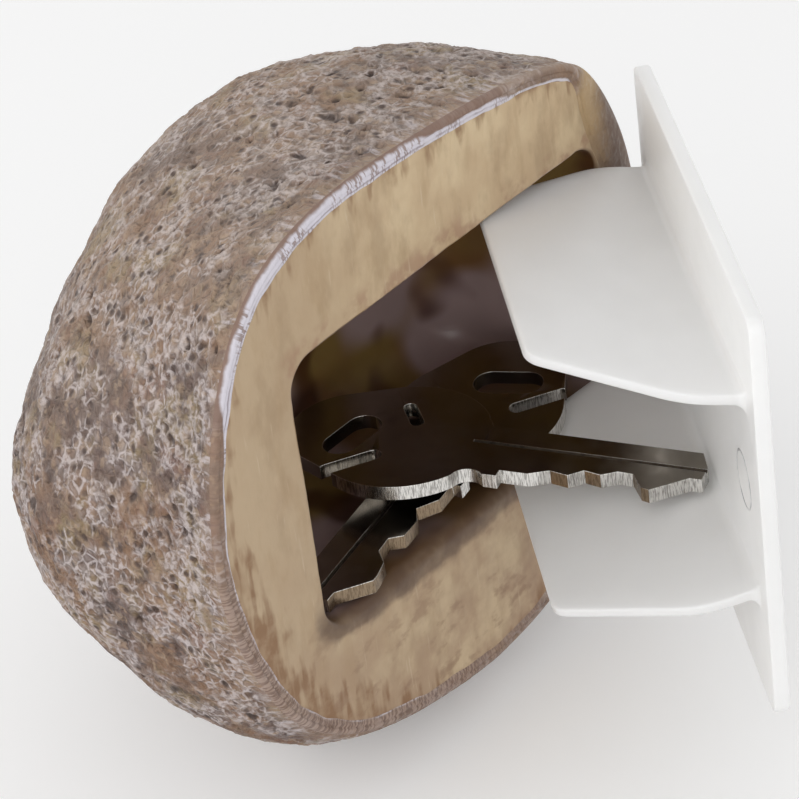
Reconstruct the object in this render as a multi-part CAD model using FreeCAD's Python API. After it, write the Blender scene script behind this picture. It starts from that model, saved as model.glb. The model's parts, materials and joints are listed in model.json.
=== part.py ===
import FreeCAD, Part
import math
import os

from FreeCAD import Vector

# Hollow garden rock for hiding a key, lying on its side with the cover levered open.
# Working frame, in mm: the flat base face is the plane x = 0 and looks along +X, the cavity
# opens in its middle at y = 0, z = 0, and the dome rises towards -X.  move_to_row_frame()
# then puts the origin at the bottom centre of the whole part.

# ---- rock body ----
DOME_DEPTH = 55.8            # base face to crown
DOME_FULLNESS = 0.66         # exponent of the side profile: 1 is an ellipse, less is fuller
DOME_CENTRE_Y = -3.4         # axis of the dome where it meets the base face
DOME_CENTRE_Z = -3.4
CROWN_DRIFT_Y = 0.4          # how far the crown sits off that axis
CROWN_DRIFT_Z = -6.0
CROWN_RADIUS = 41.0          # the outline rounds off towards a circle of this radius
CROWN_ROUNDING = 1.08        # 0 keeps the base outline all the way up, 1 ends in the circle
SHOULDER_SWELL = 0.105       # overall swell half way up the dome
CROWN_CUT_ANGLE = 80.0       # degrees up the profile where the small flat on the crown lies
RING_COUNT = 9               # sections lofted between the base face and the crown
RING_POINTS = 48             # points round each section
LYING_FACET = 1.5            # depth of the worn flat that the rock lies on
MEASURING_TOLERANCE = 0.01    # fineness of the points that the whole box is measured from

# The base outline, anticlockwise from the end that the cover pivots on.
BASE_OUTLINE = [
    (40.5, 0.0), (40.5, 11.5), (37.5, 21.5), (31.5, 30.0), (16.0, 35.5), (-5.5, 37.5),
    (-24.0, 37.0), (-35.5, 32.5), (-43.5, 22.0), (-47.5, 8.0), (-48.0, -4.5), (-45.0, -16.5),
    (-39.0, -28.5), (-28.5, -37.5), (-13.5, -42.5), (4.5, -44.0), (19.5, -40.0), (32.0, -29.5),
    (39.0, -15.0)]

# Lobes that make the dome uneven: (waves round the axis, cosine part, sine part).
SHOULDER_LOBES = [(1, 0.06, -0.215), (2, -0.13, 0.08)]
CROWN_LOBES = [(1, -0.09, 0.53), (2, 0.335, -0.33), (3, -0.325, -0.22)]

# ---- cavity ----
CAVITY_LENGTH = 62.4         # along Y
CAVITY_HEIGHT = 39.2         # along Z
CAVITY_DEPTH = 30.0
CAVITY_CORNER = 4.0
CAVITY_BACK_ROUND = 7.0      # large round between the cavity walls and its back

# ---- cover: one moulding, a plate with two sprung tabs ----
PLATE_MARGIN_END = 2.65      # plate beyond the cavity, at each end
PLATE_MARGIN_TOP = 7.95      # plate beyond the cavity, above
PLATE_MARGIN_BOTTOM = 9.8   # plate beyond the cavity, below
PLATE_THICKNESS = 2.1
PLATE_CORNER = 2.0
PLATE_EDGE_ROUND = 0.45
SEATING_GAP = 0.1            # plate to base face when the cover is shut
TAB_LENGTH = 24.4            # out from the plate
TAB_THICKNESS = 1.4
TAB_ROOT_INSET = 5.1         # plate end to the side of a tab
TAB_STRAIGHT = 7.0           # length over which a tab keeps its full width
TAB_TAPER = 9.6              # each side draws in by this much towards the end
TAB_CORNER = 3.0
TAB_ROOT_SPAN = 29.4         # outside of one tab to outside of the other, at the plate
TAB_END_CLEARANCE = 0.15     # each tab's end to the cavity wall
TAB_BURY = 0.8               # length of the tab's root inside the plate
EJECTOR_MARK_RADIUS = 3.7
EJECTOR_MARK_DEPTH = 0.15
EJECTOR_MARK_INSET = 9.4     # plate end to the centre of a mark

# ---- how the cover is levered open ----
PIVOT_X = -5.7
PIVOT_Y = 37.7
COVER_OPEN_ANGLE = 46.2

# ---- keys: two cut keys from one blank ----
KEY_THICKNESS = 2.05
BOW_RADIUS = 11.8            # round part of the bow, next to the blade
BOW_END_RADIUS = 8.5         # smaller round at the far end of the bow
BOW_END_OFFSET = 7.5
BLADE_HALF_WIDTH = 4.7
BLADE_TIP = 41.2             # bow centre to tip
SHOULDER_AT = 15.2           # bow centre to shoulder
SHOULDER_HALF_WIDTH = 6.0
NECK_NOTCH_RADIUS = 2.2
NECK_NOTCH_SETBACK = 3.6     # shoulder back to the middle of the notches
NECK_NOTCH_DEPTH = 0.7
TIP_NOSE = 1.6               # the nose of the blade is drawn in over this length
TIP_DRAW_IN = 3.1            # nose below the uncut edge
TIP_RAMP = 3.6               # height of the ramp from the cut edge up to the nose
GROOVE_WIDTH = 1.3
GROOVE_DEPTH = 0.55
GROOVE_OFFSET = 0.9
GROOVE_LEAD = 3.0            # groove starts this far before the shoulder

# Slots through the bow: (along the key, across it, length, width, turn in degrees).
BOW_SLOTS = [(-6.8, -1.2, 9.6, 4.8, -17.0), (-4.6, -7.2, 8.6, 2.2, -47.0),
             (-0.6, 5.0, 5.6, 1.8, 36.0)]

# Bitting of each key: (distance from the shoulder, depth of the cut) along the cut edge.
BITTING_1 = [(3.8, 0.0), (6.4, 1.3), (9.0, 0.8), (10.7, 2.3), (13.1, 1.8), (15.0, 3.0),
             (17.1, 2.9), (19.0, 0.3), (20.2, 0.0)]
BITTING_2 = [(3.4, 0.0), (6.0, 2.0), (8.2, 0.6), (11.4, 0.7), (12.6, 2.4), (15.2, 2.3),
             (17.0, 0.5), (19.6, 0.0), (20.6, 0.0)]

KEY_1_X = -10.6              # bow centre
KEY_1_Y = -1.3
KEY_1_TOP_Z = -10.8
KEY_1_HEADING = 16.0         # degrees from +X towards +Y
KEY_2_X = -9.3
KEY_2_Y = 12.4
KEY_2_HEADING = -82.0
KEY_2_TIP_LIFT = 0.5         # tip of the lower key above the cavity floor
KEY_2_RISE = 4.0             # degrees that the lower key climbs from its tip to its bow


def closed_curve(points):
    curve = Part.BSplineCurve()
    curve.interpolate(Points=points, PeriodicFlag=True)
    return curve


def outline_samples():
    """Distance and direction of the base outline from the dome's axis, at even steps."""
    curve = closed_curve([Vector(0, y, z) for y, z in BASE_OUTLINE])
    span = curve.LastParameter - curve.FirstParameter
    samples = []
    for i in range(RING_POINTS):
        p = curve.value(curve.FirstParameter + span * i / RING_POINTS)
        dy = p.y - DOME_CENTRE_Y
        dz = p.z - DOME_CENTRE_Z
        samples.append((math.hypot(dy, dz), math.atan2(dz, dy)))
    return samples


def lobes(terms, angle):
    return sum(c * math.cos(n * angle) + s * math.sin(n * angle) for n, c, s in terms)


def dome_ring(samples, rise):
    """Points round the dome at a profile angle of rise radians above the base face."""
    up = math.sin(rise)
    out = math.cos(rise)
    rounding = CROWN_ROUNDING * up * up
    points = []
    for radius, angle in samples:
        radius = radius * (1 - rounding) + CROWN_RADIUS * rounding
        shoulder = (SHOULDER_SWELL + lobes(SHOULDER_LOBES, angle)) * math.sin(2 * rise)
        crown = lobes(CROWN_LOBES, angle) * up * up * out
        radius = radius * out ** DOME_FULLNESS * (1 + shoulder + crown)
        y = DOME_CENTRE_Y + CROWN_DRIFT_Y * up + radius * math.cos(angle)
        z = DOME_CENTRE_Z + CROWN_DRIFT_Z * up + radius * math.sin(angle)
        points.append(Vector(-DOME_DEPTH * up, y, z))
    return points


def dome():
    samples = outline_samples()
    wires = []
    for i in range(RING_COUNT + 1):
        rise = math.radians(CROWN_CUT_ANGLE) * i / RING_COUNT
        wires.append(Part.Wire([closed_curve(dome_ring(samples, rise)).toShape()]))
    return Part.makeLoft(wires, True)


def edges_along(shape, axis):
    """Straight edges parallel to the given axis."""
    found = []
    for edge in shape.Edges:
        if len(edge.Vertexes) == 2:
            step = edge.Vertexes[1].Point - edge.Vertexes[0].Point
            if step.Length > 1e-6 and abs(abs(step.normalize().dot(axis)) - 1) < 1e-6:
                found.append(edge)
    return found


def cavity():
    margin = 5.0
    box = Part.makeBox(CAVITY_DEPTH + margin, CAVITY_LENGTH, CAVITY_HEIGHT,
                       Vector(-CAVITY_DEPTH, -CAVITY_LENGTH / 2, -CAVITY_HEIGHT / 2))
    corners = box.makeFillet(CAVITY_CORNER, edges_along(box, Vector(1, 0, 0)))
    back = [e for e in box.Edges if abs(e.BoundBox.XMax + CAVITY_DEPTH) < 1e-6]
    return corners.common(box.makeFillet(CAVITY_BACK_ROUND, back))


def rock_body():
    body = dome()
    box = body.BoundBox
    floor = box.ZMin + LYING_FACET
    below = Part.makeBox(3 * box.XLength, 3 * box.YLength, box.ZLength,
                         Vector(-2 * box.XLength, -1.5 * box.YLength, floor - box.ZLength))
    return body.cut(below).cut(cavity())


def plate_length():
    return CAVITY_LENGTH + 2 * PLATE_MARGIN_END


def tab(side):
    """One flared tab, on the upper side of the cover for side = 1 and the lower for -1."""
    half = plate_length() / 2 - TAB_ROOT_INSET
    narrow = half - TAB_TAPER
    points = [Vector(TAB_BURY, -half, 0), Vector(-TAB_STRAIGHT, -half, 0),
              Vector(-TAB_LENGTH, -narrow, 0), Vector(-TAB_LENGTH, narrow, 0),
              Vector(-TAB_STRAIGHT, half, 0), Vector(TAB_BURY, half, 0)]
    slab = Part.Face(Part.makePolygon(points + points[:1])).extrude(Vector(0, 0, -TAB_THICKNESS))
    end_edges = [e for e in edges_along(slab, Vector(0, 0, 1))
                 if abs(e.BoundBox.XMin + TAB_LENGTH) < 1e-6]
    slab = slab.makeFillet(TAB_CORNER, end_edges)
    end_span = CAVITY_HEIGHT - 2 * TAB_END_CLEARANCE
    flare = math.degrees(math.atan2((end_span - TAB_ROOT_SPAN) / 2, TAB_LENGTH))
    slab.rotate(Vector(0, 0, 0), Vector(0, 1, 0), flare)
    slab.translate(Vector(SEATING_GAP, 0, TAB_ROOT_SPAN / 2))
    if side < 0:
        slab = slab.mirror(Vector(0, 0, 0), Vector(0, 0, 1))
    return slab


def plate():
    low = -CAVITY_HEIGHT / 2 - PLATE_MARGIN_BOTTOM
    height = CAVITY_HEIGHT + PLATE_MARGIN_TOP + PLATE_MARGIN_BOTTOM
    box = Part.makeBox(PLATE_THICKNESS, plate_length(), height,
                       Vector(SEATING_GAP, -plate_length() / 2, low))
    box = box.makeFillet(PLATE_CORNER, edges_along(box, Vector(1, 0, 0)))
    outer = [e for e in box.Edges if abs(e.BoundBox.XMin - SEATING_GAP - PLATE_THICKNESS) < 1e-6]
    return box.makeFillet(PLATE_EDGE_ROUND, outer)


def cover_shut():
    body = plate().fuse([tab(1), tab(-1)]).removeSplitter()
    for end in (-1, 1):
        y = end * (plate_length() / 2 - EJECTOR_MARK_INSET)
        mark = Part.makeCylinder(EJECTOR_MARK_RADIUS, EJECTOR_MARK_DEPTH,
                                 Vector(SEATING_GAP, y, 0), Vector(1, 0, 0))
        body = body.cut(mark)
    return body


def cover():
    body = cover_shut()
    body.rotate(Vector(PIVOT_X, PIVOT_Y, 0), Vector(0, 0, 1), COVER_OPEN_ANGLE)
    return body


def extruded(points, low, height):
    wire = Part.makePolygon([Vector(u, v, low) for u, v in points + points[:1]])
    return Part.Face(wire).extrude(Vector(0, 0, height))


def blade(bitting):
    points = [(0.0, BLADE_HALF_WIDTH), (0.0, -SHOULDER_HALF_WIDTH),
              (SHOULDER_AT, -SHOULDER_HALF_WIDTH), (SHOULDER_AT, -BLADE_HALF_WIDTH)]
    points += [(SHOULDER_AT + along, -BLADE_HALF_WIDTH + depth) for along, depth in bitting]
    points += [(BLADE_TIP - TIP_NOSE, -BLADE_HALF_WIDTH + TIP_RAMP),
               (BLADE_TIP, -BLADE_HALF_WIDTH + TIP_RAMP),
               (BLADE_TIP, BLADE_HALF_WIDTH - TIP_DRAW_IN),
               (BLADE_TIP - TIP_NOSE, BLADE_HALF_WIDTH)]
    return extruded(points, 0, KEY_THICKNESS)


def bow():
    round_part = Part.makeCylinder(BOW_RADIUS, KEY_THICKNESS)
    end_part = Part.makeCylinder(BOW_END_RADIUS, KEY_THICKNESS, Vector(-BOW_END_OFFSET, 0, 0))
    lean = math.asin((BOW_RADIUS - BOW_END_RADIUS) / BOW_END_OFFSET)
    touch_u = -math.sin(lean)
    touch_v = math.cos(lean)
    cheeks = extruded([(BOW_RADIUS * touch_u, -BOW_RADIUS * touch_v),
                       (BOW_RADIUS * touch_u, BOW_RADIUS * touch_v),
                       (BOW_END_RADIUS * touch_u - BOW_END_OFFSET, BOW_END_RADIUS * touch_v),
                       (BOW_END_RADIUS * touch_u - BOW_END_OFFSET, -BOW_END_RADIUS * touch_v)],
                      0, KEY_THICKNESS)
    return round_part.fuse([end_part, cheeks])


def slot(along, across, length, width, turn):
    half = length / 2 - width / 2
    body = Part.makeBox(width, 2 * half, KEY_THICKNESS, Vector(-width / 2, -half, 0))
    for end in (-1, 1):
        body = body.fuse(Part.makeCylinder(width / 2, KEY_THICKNESS, Vector(0, end * half, 0)))
    body.rotate(Vector(0, 0, 0), Vector(0, 0, 1), turn)
    body.translate(Vector(along, across, 0))
    return body


def cut_key(bitting):
    """A cut key lying flat: bow centre at the origin, blade along +X, cuts on the -Y side."""
    body = bow().fuse(blade(bitting)).removeSplitter()
    notch_at = SHOULDER_AT - NECK_NOTCH_SETBACK
    for side in (-1, 1):
        middle = side * (SHOULDER_HALF_WIDTH + NECK_NOTCH_RADIUS - NECK_NOTCH_DEPTH)
        body = body.cut(Part.makeCylinder(NECK_NOTCH_RADIUS, KEY_THICKNESS,
                                          Vector(notch_at, middle, 0)))
    for place in BOW_SLOTS:
        body = body.cut(slot(*place))
    groove_start = SHOULDER_AT - GROOVE_LEAD
    groove = Part.makeBox(BLADE_TIP - groove_start, GROOVE_WIDTH, GROOVE_DEPTH,
                          Vector(groove_start, GROOVE_OFFSET - GROOVE_WIDTH / 2,
                                 KEY_THICKNESS - GROOVE_DEPTH))
    return body.cut(groove)


def key_1():
    """The upper key, flat across the lower one, with its blade out over the lower tab."""
    body = cut_key(BITTING_1)
    body.rotate(Vector(0, 0, 0), Vector(0, 0, 1), KEY_1_HEADING)
    body.translate(Vector(KEY_1_X, KEY_1_Y, KEY_1_TOP_Z - KEY_THICKNESS))
    return body


def key_2():
    """The lower key, turned over, with its tip on the cavity floor and its bow on the tab."""
    body = cut_key(BITTING_2)
    body = body.mirror(Vector(0, 0, 0), Vector(0, 1, 0))
    body.rotate(Vector(BLADE_TIP, 0, 0), Vector(0, 1, 0), KEY_2_RISE)
    body.rotate(Vector(0, 0, 0), Vector(0, 0, 1), KEY_2_HEADING)
    body.translate(Vector(KEY_2_X, KEY_2_Y, -CAVITY_HEIGHT / 2 + KEY_2_TIP_LIFT))
    return body


def all_nodes():
    return {"rock_body": rock_body(), "cover": cover(), "key_1": key_1(), "key_2": key_2()}


def move_to_row_frame(nodes):
    box = FreeCAD.BoundBox()
    for shape in nodes.values():
        for point in shape.tessellate(MEASURING_TOLERANCE)[0]:
            box.add(point)
    shift = Vector(-box.Center.x, -box.Center.y, -box.ZMin)
    for shape in nodes.values():
        shape.translate(shift)
    return shift, box


def main():
    os.makedirs("parts", exist_ok=True)
    nodes = all_nodes()
    shift, box = move_to_row_frame(nodes)
    print("shift", shift, "box", box.XLength, box.YLength, box.ZLength)
    print("cover pivot", PIVOT_X + shift.x, PIVOT_Y + shift.y)
    for name, shape in nodes.items():
        solids = shape.Solids
        print(name, len(solids), "solid", shape.isValid(), round(shape.Volume, 1))
        shape.exportStep("parts/" + name + ".step")


main()
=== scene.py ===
import json
import math
from functools import partial

import bmesh
import bpy
import numpy as np
from mathutils import Matrix, Vector


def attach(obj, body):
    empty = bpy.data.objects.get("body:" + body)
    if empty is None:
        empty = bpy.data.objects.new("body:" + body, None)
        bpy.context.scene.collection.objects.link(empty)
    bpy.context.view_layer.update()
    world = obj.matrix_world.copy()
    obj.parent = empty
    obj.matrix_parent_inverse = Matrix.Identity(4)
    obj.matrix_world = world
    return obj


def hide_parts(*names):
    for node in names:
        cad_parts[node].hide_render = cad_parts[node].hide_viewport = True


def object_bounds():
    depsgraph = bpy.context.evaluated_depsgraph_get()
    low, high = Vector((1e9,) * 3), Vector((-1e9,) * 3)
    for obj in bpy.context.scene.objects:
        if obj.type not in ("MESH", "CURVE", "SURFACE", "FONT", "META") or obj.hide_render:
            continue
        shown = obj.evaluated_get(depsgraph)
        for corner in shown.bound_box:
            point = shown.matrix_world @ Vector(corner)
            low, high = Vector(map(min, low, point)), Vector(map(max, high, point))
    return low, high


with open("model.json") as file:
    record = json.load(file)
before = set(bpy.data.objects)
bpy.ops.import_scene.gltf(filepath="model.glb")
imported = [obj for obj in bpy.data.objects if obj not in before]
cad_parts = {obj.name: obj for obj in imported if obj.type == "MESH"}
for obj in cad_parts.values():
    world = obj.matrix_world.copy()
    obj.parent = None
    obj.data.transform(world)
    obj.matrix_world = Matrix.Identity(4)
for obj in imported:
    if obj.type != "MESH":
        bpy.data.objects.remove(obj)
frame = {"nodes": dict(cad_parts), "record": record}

# Hollow garden rock lying on its side, its moulded cover open and two house keys in its mouth.
# Shapes are worked out in mm in the rock's own frame: the base face is the plane x = 0 and
# looks along +X, the middle of the cavity's mouth is the origin, the dome rises towards -X.
MM = 0.001
PIVOT = (-5.7, 37.7)                                 # x and y of the line the cover turns about
hinge = next(j for j in frame["record"]["behaviour"]["joints"] if j["name"] == "cover_hinge")
ROCK_ORIGIN = Vector(hinge["pos_m"]) / MM - Vector((*PIVOT, 0))
COVER_OPEN = math.radians(-hinge["range_deg"][0])
cad_box = [list(corner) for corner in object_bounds()]

# ---- rock ----
DOME_DEPTH = 55.8
DOME_FULLNESS = 0.66
DOME_CENTRE = (-3.4, -3.4)
CROWN_DRIFT = (0.4, -6.0)
CROWN_RADIUS = 41.0
CROWN_ROUNDING = 1.08
CROWN_FLAT = 54.6            # the crown is worn flat at this depth
SHOULDER_SWELL = 0.105
BASE_OUTLINE = [
    (40.5, 0.0), (40.5, 11.5), (37.5, 21.5), (31.5, 30.0), (16.0, 35.5), (-5.5, 37.5),
    (-24.0, 37.0), (-35.5, 32.5), (-43.5, 22.0), (-47.5, 8.0), (-48.0, -4.5), (-45.0, -16.5),
    (-39.0, -28.5), (-28.5, -37.5), (-13.5, -42.5), (4.5, -44.0), (19.5, -40.0), (32.0, -29.5),
    (39.0, -15.0)]
SHOULDER_LOBES = [(1, 0.06, -0.215), (2, -0.13, 0.08)]
CROWN_LOBES = [(1, -0.09, 0.53), (2, 0.335, -0.33), (3, -0.325, -0.22)]
AROUND = 900                 # points round the rock
SKIN_STEP = 0.32             # mm between rings on the dome
FACE_STEP = 0.40             # mm between rings on the base face where it is FACE_WIDTH wide
FACE_WIDTH = 14.0
GIRTH = 275.0                # about, in mm round the rock's edge

EDGE_ROUND = 0.9             # rounded edge between the dome and the base face
END_ROUND = 6.5              # the same at the end that the cover turns on, where it is worn away
END_SUNK = 0.8               # how far wear has taken that end back behind the base face
END_INSET = 0.3              # and in towards the middle
QUARTER_TURN = 1.571         # in radians
BEAD_WIDTH = 1.25            # raised bead of flash on the base face, just inside that edge
BEAD_HEIGHT = 0.22

CAVITY_HALF = (31.2, 19.6)
CAVITY_DEPTH = 30.0
CAVITY_CORNER = 4.0
CAVITY_BACK_ROUND = 7.0
CAVITY_BACK_CORNER = 0.8     # least corner radius, at the back
WALL_START = 2.9             # depth of the first ring of the cavity's plain wall
WALL_STEP = 0.6
LIP_ROUND = 0.45             # rounded edge of the cavity's mouth
LOW_LIP_ROUND = 1.9          # the same along its lower side, worn by the keys

# ---- cover ----
PLATE_HALF_LENGTH = 33.85
PLATE_LOW, PLATE_HIGH = -29.4, 27.55
PLATE_INNER, PLATE_OUTER = 0.1, 2.2
PLATE_INNER_ROUND, PLATE_OUTER_ROUND = 0.22, 0.5
PLATE_CORNER = 2.0
RIM_MARGIN = 0.06            # flat strip beside a moulding's rounded rims
PLATE_STEP = 0.5             # mm between points along the plate's outline
EJECTOR_REACH = PLATE_HALF_LENGTH - 9.4     # from the plate's middle to each ejector mark
EJECTOR_RADIUS = 3.7
EJECTOR_LINE_HALF_WIDTH = 0.09
EJECTOR_LINE_HEIGHT = 0.07
TAB_LENGTH = 24.4
TAB_THICKNESS = 1.4
TAB_HALF_ROOT = 28.75
TAB_HALF_END = 19.15
TAB_STRAIGHT = 7.0
TAB_OUTSIDE = 14.7           # outside of a tab at the plate, above the middle
TAB_FLARE = math.radians(11.02)
TAB_ROUND = 0.3
TAB_CORNERS = (0.3, 0.3, 13.0, 3.0, 3.0, 13.0)      # radii, from the root round the end
TAB_THINNING = 0.12          # share of its thickness that a tab has lost at its end
TAB_STEP = 0.45              # mm between points along a tab's outline
ROOT_FILLET = 1.3            # where each tab meets the plate, inside and outside
ROOT_FILLET_SIDE = 0.8       # the fillet at a tab's narrow sides, as a share of the same
ROOT_SUNK = 0.9              # how far a tab runs on into the plate

# ---- keys ----
KEY_THICKNESS = 2.05
KEY_ARRIS = 0.10             # width of the bright broken edges
SHADED_BOW_FROM = -5.5         # beyond this the bow's flanks get the dark face finish too, painted shade on its slot walls
SHOULDER_AT = 15.2
BLADE_TIP = 41.2
GROOVE_START = 9.5
GROOVE_SIDES = (0.70, 1.25)
GROOVE_DEPTH = 0.28
GROOVE_SLOPE = 0.12
KEY_1_PLACE = (Vector((-10.6, -1.3, -12.85)), math.radians(16.0), 0.0)
KEY_2_PLACE = (Vector((-9.3, 12.4, -19.1)), math.radians(-82.0), math.radians(4.0))


# ---------------------------------------------------------------- noise, over points in mm

def corner_values(cells, seed):
    """A repeatable random value from 0 to 1 for each lattice corner."""
    x, y, z = (cells[:, i].astype(np.int64).astype(np.uint32) for i in range(3))
    n = x * np.uint32(374761393) + y * np.uint32(668265263) + z * np.uint32(2246822519)
    n = n + np.uint32(seed * 40503 + 977)
    n = (n ^ (n >> np.uint32(13))) * np.uint32(1274126177)
    n = (n ^ (n >> np.uint32(15))) * np.uint32(2654435761)
    return (n ^ (n >> np.uint32(16))).astype(np.float64) / 4294967295.0


def smooth_noise(points, size, seed):
    """Smooth noise from -1 to 1 whose lumps are about size mm across."""
    place = points / size
    cell = np.floor(place)
    part = place - cell
    part = part * part * part * (part * (part * 6 - 15) + 10)
    total = np.zeros(len(points))
    for corner in np.ndindex(2, 2, 2):
        weight = np.prod(np.where(corner, part, 1 - part), axis=1)
        total += weight * corner_values(cell + np.array(corner), seed)
    return 2 * total - 1


def fractal(points, size, seed, octaves):
    """Smooth noise with finer noise added, each octave half as coarse and half as strong."""
    total = np.zeros(len(points))
    for octave in range(octaves):
        share = 0.5 ** octave
        total += share * smooth_noise(points, size * share, seed + 31 * octave)
    return total


def scattered_grains(points, size, seed):
    """Distances in mm to the nearest and next of points scattered size mm apart, and the
    nearest one's own value from 0 to 1."""
    place = points / size
    cell = np.floor(place).astype(np.int64)
    low = cell.min(axis=0)
    span = cell.max(axis=0) - low + 1
    key = ((cell[:, 0] - low[0]) * span[1] + cell[:, 1] - low[1]) * span[2] + cell[:, 2] - low[2]
    _, first, member = np.unique(key, return_index=True, return_inverse=True)
    used = cell[first]
    nearest = np.full(len(points), 9.0)
    following = np.full(len(points), 9.0)
    value = np.zeros(len(points))
    for offset in np.ndindex(3, 3, 3):
        other = used + np.array(offset) - 1
        spot = other + np.stack([corner_values(other, seed + k) for k in (1, 2, 3)], axis=1)
        own_value = corner_values(other, seed + 7)
        gap = np.linalg.norm(spot[member] - place, axis=1)
        closer = gap < nearest
        following = np.where(closer, nearest, np.minimum(following, gap))
        value = np.where(closer, own_value[member], value)
        nearest = np.where(closer, gap, nearest)
    return nearest * size, following * size, value


def ramp(value, low, high):
    """0 below low and 1 above high, easing between them."""
    part = np.clip((value - low) / (high - low), 0, 1)
    return part * part * (3 - 2 * part)


# ---------------------------------------------------------------- meshes

def to_object_frame(points):
    """From mm in the rock's own frame to metres in the frame that all pieces share."""
    return (np.asarray(points) + np.array(ROCK_ORIGIN)) * MM


def placed(name, data):
    """A new object in the scene that carries the data."""
    piece = bpy.data.objects.new(name, data)
    bpy.context.scene.collection.objects.link(piece)
    return piece


def new_object(name, points, faces, smooth=True):
    mesh = bpy.data.meshes.new(name)
    mesh.from_pydata([tuple(p) for p in points], [], faces)
    mesh.validate()
    mesh.update()
    if smooth:
        mesh.polygons.foreach_set("use_smooth", [True] * len(mesh.polygons))
    return placed(name, mesh)


def ring_faces(rings, around):
    """Quads joining each ring of points to the next, all rings closed."""
    low = (np.arange(rings - 1) * around)[:, None] + np.arange(around)[None, :]
    ahead = (np.arange(rings - 1) * around)[:, None] + (np.arange(around)[None, :] + 1) % around
    return np.stack([low, ahead, ahead + around, low + around], axis=2).reshape(-1, 4)


def closed_tube(name, rings):
    """A smooth mesh over a stack of closed rings, with both ends closed by a fan."""
    count, around = rings.shape[:2]
    points = np.vstack([rings.reshape(-1, 3), rings[0].mean(axis=0), rings[-1].mean(axis=0)])
    near = np.arange(around)
    far = (near + 1) % around
    top = (count - 1) * around
    first_fan = np.stack([np.full(around, count * around), far, near], axis=1)
    last_fan = np.stack([np.full(around, count * around + 1), top + near, top + far], axis=1)
    faces = [*ring_faces(count, around).tolist(), *first_fan.tolist(), *last_fan.tolist()]
    return new_object(name, to_object_frame(points), faces)


def add_values(piece, name, rings):
    """Stores a value for each point of a closed tube's rings."""
    layer = piece.data.attributes.new(name, "FLOAT", "POINT")
    values = np.append(np.ravel(rings), [0.0, 0.0])
    layer.data.foreach_set("value", values.astype(np.float32))


def apply_modifiers(piece):
    graph = bpy.context.evaluated_depsgraph_get()
    mesh = bpy.data.meshes.new_from_object(piece.evaluated_get(graph))
    piece.modifiers.clear()
    piece.data = mesh


def combine(piece, others, operation):
    """Adds other solids to the piece or cuts them out of it, and removes them."""
    for other in others:
        step = piece.modifiers.new("combine", "BOOLEAN")
        step.operation = operation
        step.solver = "EXACT"
        step.object = other
    apply_modifiers(piece)
    for other in others:
        bpy.data.objects.remove(other)


def shade(piece, weight):
    """Normals that follow the larger faces, so that flats stay flat up to their rounding."""
    shading = piece.modifiers.new("shading", "WEIGHTED_NORMAL")
    shading.keep_sharp = True
    shading.weight = weight
    apply_modifiers(piece)


def evenly_spaced(outline, step=None, count=None):
    """Points along the closed outline, as many as count or else about step mm apart."""
    ring = np.vstack([outline, outline[:1]])
    gaps = np.linalg.norm(np.diff(ring, axis=0), axis=1)
    ring = ring[np.concatenate([[True], gaps > 1e-6])]
    gaps = np.linalg.norm(np.diff(ring, axis=0), axis=1)
    length = np.concatenate([[0], np.cumsum(gaps)])
    at = np.linspace(0, length[-1], count or int(length[-1] / step), endpoint=False)
    return np.stack([np.interp(at, length, ring[:, i]) for i in (0, 1)], axis=1)


def closed_spline(points, count):
    """Evenly spaced points on the smooth closed curve through the given ones."""
    points = np.array(points, float)
    n = len(points)
    gaps = np.linalg.norm(np.roll(points, -1, axis=0) - points, axis=1)
    system = np.zeros((n, n))
    right = np.zeros((n, 2))
    for i in range(n):
        before = gaps[i - 1]
        after = gaps[i]
        system[i, i - 1] += after
        system[i, i] += 2 * (before + after)
        system[i, (i + 1) % n] += before
        right[i] = 3 * (after * (points[i] - points[i - 1]) / before
                        + before * (points[(i + 1) % n] - points[i]) / after)
    slopes = np.linalg.solve(system, right)
    dense = []
    for i in range(n):
        k = (i + 1) % n
        for t in np.linspace(0, 1, 60, endpoint=False):
            dense.append((2 * t ** 3 - 3 * t ** 2 + 1) * points[i]
                         + (t ** 3 - 2 * t ** 2 + t) * gaps[i] * slopes[i]
                         + (3 * t ** 2 - 2 * t ** 3) * points[k]
                         + (t ** 3 - t ** 2) * gaps[i] * slopes[k])
    return evenly_spaced(np.array(dense), count=count)


# ---------------------------------------------------------------- the rock

def lobes(terms, angle):
    """Waves round the rock, each given as its count and its cosine and sine strengths."""
    return sum(c * np.cos(n * angle) + s * np.sin(n * angle) for n, c, s in terms)


def dome_ring(radius, angle, rise):
    """One ring of the smooth dome: rise is 0 at the base face and a quarter turn at the crown."""
    up = math.sin(rise)
    out = max(math.cos(rise), 0.0)
    rounding = CROWN_ROUNDING * up * up
    shape = radius * (1 - rounding) + CROWN_RADIUS * rounding
    shoulder = (SHOULDER_SWELL + lobes(SHOULDER_LOBES, angle)) * math.sin(2 * rise)
    crown = lobes(CROWN_LOBES, angle) * up * up * out
    shape = shape * out ** DOME_FULLNESS * (1 + shoulder + crown)
    y = DOME_CENTRE[0] + CROWN_DRIFT[0] * up + shape * np.cos(angle)
    z = DOME_CENTRE[1] + CROWN_DRIFT[1] * up + shape * np.sin(angle)
    x = np.full(len(angle), -min(DOME_DEPTH * up, CROWN_FLAT))
    return np.stack([x, y, z], axis=1)


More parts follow.
